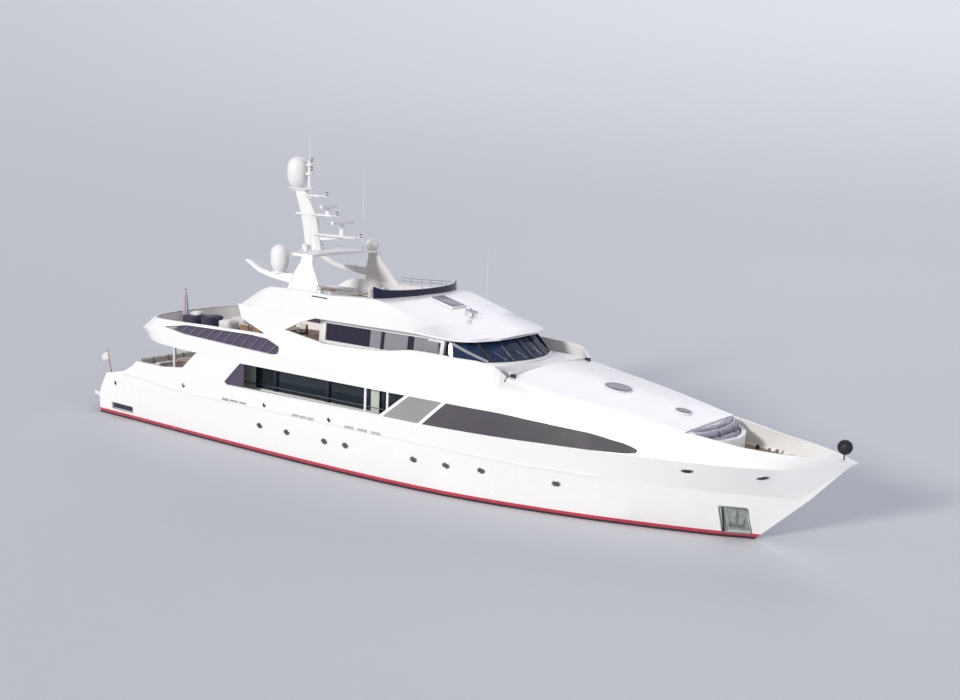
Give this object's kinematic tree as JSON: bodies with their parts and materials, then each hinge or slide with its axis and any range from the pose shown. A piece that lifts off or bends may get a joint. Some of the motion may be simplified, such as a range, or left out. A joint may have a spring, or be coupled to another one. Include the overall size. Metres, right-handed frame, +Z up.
{
  "type": "motor yacht, half-scale model",
  "caption": "Three-deck motor yacht afloat: plated hull, side decks, wheelhouse, open sun deck, radar arch and mast, turning screws, rudders, fins and doors.",
  "frame": {"origin": "on the centreline at the waterline, amidships", "axes": "+X to the bow, +Y to port, +Z up"},
  "size_m": [21.28, 4.5248, 8.912],
  "materials": {
    "hull_paint": "gloss white paint over laminate",
    "gelcoat": "gloss gelcoat",
    "deck_grey": "satin grey",
    "teak": "laid teak, satin",
    "dark_glass": "dark tinted",
    "steel": "brushed",
    "bronze": "cast bronze, satin",
    "navy_cloth": "woven cover",
    "white_cloth": "woven cushion",
    "black": "matt black",
    "antenna_white": "satin white paint"
  },
  "bodies": {
    "yacht": {"hull": "hull_paint", "main_deck": "teak", "quarter_starboard": "hull_paint", "quarter_port": "hull_paint", "side_bulwark_starboard": "hull_paint", "side_bulwark_port": "hull_paint", "window_panel_starboard": "hull_paint", "window_panel_port": "hull_paint", "topside_starboard": "hull_paint", "topside_port": "hull_paint", "bow": "hull_paint", "foredeck": "teak", "bow_sun_pad": "navy_cloth", "main_house": "gelcoat", "saloon_glass_starboard": "dark_glass", "saloon_glass_port": "dark_glass", "screen_window_starboard": "dark_glass", "screen_window_port": "dark_glass", "flush_window_starboard": "dark_glass", "flush_window_port": "dark_glass", "upper_deck": "teak", "upper_bulwark": "gelcoat", "upper_wing_starboard": "gelcoat", "upper_wing_port": "gelcoat", "upper_side_starboard": "gelcoat", "upper_side_port": "gelcoat", "coach_roof": "gelcoat", "upper_house": "gelcoat", "windshield": "dark_glass", "upper_side_glass_starboard": "dark_glass", "upper_side_glass_port": "dark_glass", "sun_deck": "gelcoat", "wind_screen": "dark_glass", "arch": "gelcoat", "mast": "antenna_white", "dome_top": "antenna_white", "dome_starboard": "antenna_white", "dome_port": "antenna_white", "anchor_ball": "black", "anchor_starboard": "steel", "anchor_port": "steel", "windlass": "steel", "aft_settee": "white_cloth", "aft_table": "teak", "parasol": "navy_cloth"},
    "transom_door": {"transom_door": "hull_paint"},
    "saloon_door_starboard": {"saloon_door_starboard": "dark_glass"},
    "saloon_door_port": {"saloon_door_port": "dark_glass"},
    "wheelhouse_door_starboard": {"wheelhouse_door_starboard": "gelcoat"},
    "wheelhouse_door_port": {"wheelhouse_door_port": "gelcoat"},
    "lounge_door": {"lounge_door": "dark_glass"},
    "radar_lower": {"radar_lower": "antenna_white"},
    "radar_upper": {"radar_upper": "antenna_white"},
    "propeller_starboard": {"propeller_starboard": "bronze"},
    "propeller_port": {"propeller_port": "bronze"},
    "rudder_starboard": {"rudder_starboard": "hull_paint"},
    "rudder_port": {"rudder_port": "hull_paint"},
    "stabiliser_fin_starboard": {"stabiliser_fin_starboard": "hull_paint"},
    "stabiliser_fin_port": {"stabiliser_fin_port": "hull_paint"},
    "foredeck_hatch": {"foredeck_hatch": "deck_grey"}
  },
  "joints": [
    {"name": "transom_door", "type": "hinge", "parent": "yacht", "child": "transom_door", "pos_m": [-8.93984, 0, 0.97897], "axis": [0, 1, 0], "range_deg": [0, 80]},
    {"name": "saloon_door_starboard", "type": "slide", "parent": "yacht", "child": "saloon_door_starboard", "axis": [0, -1, 0], "range_m": [0, 0.6]},
    {"name": "saloon_door_port", "type": "slide", "parent": "yacht", "child": "saloon_door_port", "axis": [0, 1, 0], "range_m": [0, 0.6]},
    {"name": "wheelhouse_door_starboard", "type": "slide", "parent": "yacht", "child": "wheelhouse_door_starboard", "axis": [-1, 0, 0], "range_m": [0, 0.35]},
    {"name": "wheelhouse_door_port", "type": "slide", "parent": "yacht", "child": "wheelhouse_door_port", "axis": [-1, 0, 0], "range_m": [0, 0.35]},
    {"name": "lounge_door", "type": "slide", "parent": "yacht", "child": "lounge_door", "axis": [0, 1, 0], "range_m": [0, 0.7]},
    {"name": "radar_lower", "type": "hinge", "parent": "yacht", "child": "radar_lower", "pos_m": [-2.08, 0, 5.61], "axis": [0, 0, 1], "continuous": true},
    {"name": "radar_upper", "type": "hinge", "parent": "yacht", "child": "radar_upper", "pos_m": [-2.56, 0, 5.98], "axis": [0, 0, 1], "continuous": true},
    {"name": "propeller_starboard", "type": "hinge", "parent": "yacht", "child": "propeller_starboard", "pos_m": [-8.05, -0.9, -0.86], "axis": [0.9962, 0, 0.0872], "continuous": true},
    {"name": "propeller_port", "type": "hinge", "parent": "yacht", "child": "propeller_port", "pos_m": [-8.05, 0.9, -0.86], "axis": [0.9962, 0, 0.0872], "continuous": true},
    {"name": "rudder_starboard", "type": "hinge", "parent": "yacht", "child": "rudder_starboard", "pos_m": [-8.85, -0.9, -0.8], "axis": [0, 0, 1], "range_deg": [-35, 35]},
    {"name": "rudder_port", "type": "hinge", "parent": "yacht", "child": "rudder_port", "pos_m": [-8.85, 0.9, -0.8], "axis": [0, 0, 1], "range_deg": [-35, 35]},
    {"name": "stabiliser_fin_starboard", "type": "hinge", "parent": "yacht", "child": "stabiliser_fin_starboard", "pos_m": [0.3, -1.64, -0.79], "axis": [0, -0.7071, -0.7071], "range_deg": [-20, 20]},
    {"name": "stabiliser_fin_port", "type": "hinge", "parent": "yacht", "child": "stabiliser_fin_port", "pos_m": [0.3, 1.64, -0.79], "axis": [0, 0.7071, -0.7071], "range_deg": [-20, 20]},
    {"name": "foredeck_hatch", "type": "hinge", "parent": "yacht", "child": "foredeck_hatch", "pos_m": [9.45, 0, 1.6573], "axis": [0, -1, 0], "range_deg": [0, 90]}
  ],
  "couplings": [
    {"joint": "rudder_port", "follows": "rudder_starboard", "ratio": 1}
  ]
}
